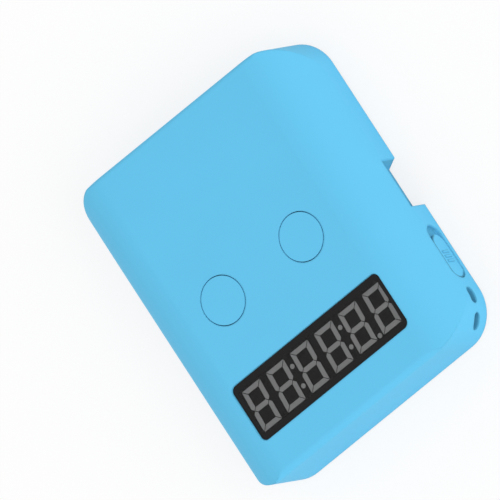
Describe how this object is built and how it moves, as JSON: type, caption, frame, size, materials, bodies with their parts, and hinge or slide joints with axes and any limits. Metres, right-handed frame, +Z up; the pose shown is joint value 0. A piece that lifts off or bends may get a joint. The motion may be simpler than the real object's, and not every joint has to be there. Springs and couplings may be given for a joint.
{
  "type": "pocket speed cube timer",
  "caption": "Flat pocket timer with soft rolled sides, two flush round buttons, a six-digit display window, a power slide, a cord eye and a battery door underneath.",
  "frame": {"origin": "on the table under the middle of the case, in the plane of the undersides of the feet", "axes": "+Z up, -Y towards the display side, +X towards the side with the power slide"},
  "size_m": [0.068, 0.08, 0.0177],
  "materials": {
    "case_plastic": "fine matte texture",
    "black_plastic": "matte",
    "window": "smoked clear acrylic",
    "digit_grey": "milky resin, unlit",
    "board": "solder mask",
    "steel": "nickel plated",
    "rubber": "matte",
    "cell_jacket": "plain jacket",
    "capacitor_sleeve": "shrink sleeve"
  },
  "bodies": {
    "case": {"top_case": "case_plastic", "bottom_cover": "case_plastic", "case_screws": "steel", "rubber_feet": "rubber", "display_window": "window", "display_module": "black_plastic", "digit_segments": "digit_grey", "display_pins": "steel", "left_tact_switch": "black_plastic", "right_tact_switch": "black_plastic", "main_board": "board", "board_screws": "steel", "controller_chip": "black_plastic", "crystal": "steel", "capacitor": "capacitor_sleeve", "resistors": "black_plastic", "buzzer": "black_plastic", "slide_switch": "steel", "front_cell": "cell_jacket", "back_cell": "cell_jacket", "battery_springs": "steel", "negative_contact": "steel", "positive_contact": "steel", "bridge_contact": "steel"},
    "left_button": {"left_button": "case_plastic", "left_plunger": "black_plastic"},
    "right_button": {"right_button": "case_plastic", "right_plunger": "black_plastic"},
    "power_slide": {"slide_knob": "case_plastic", "slide_lever": "black_plastic"},
    "battery_door": {"battery_door": "case_plastic"}
  },
  "joints": [
    {"name": "left_button_press", "type": "slide", "parent": "case", "child": "left_button", "axis": [0, 0, -1], "range_m": [0, 0.00045], "stiffness_N_per_m": 3000, "springref_m": -0.0001},
    {"name": "right_button_press", "type": "slide", "parent": "case", "child": "right_button", "axis": [0, 0, -1], "range_m": [0, 0.00045], "stiffness_N_per_m": 3000, "springref_m": -0.0001},
    {"name": "power_slide_move", "type": "slide", "parent": "case", "child": "power_slide", "axis": [0, 1, 0], "range_m": [0, 0.0023]},
    {"name": "battery_door_hinge", "type": "hinge", "parent": "case", "child": "battery_door", "pos_m": [0, 0.03185, 0.0011], "axis": [1, 0, 0], "range_deg": [0, 90]}
  ]
}
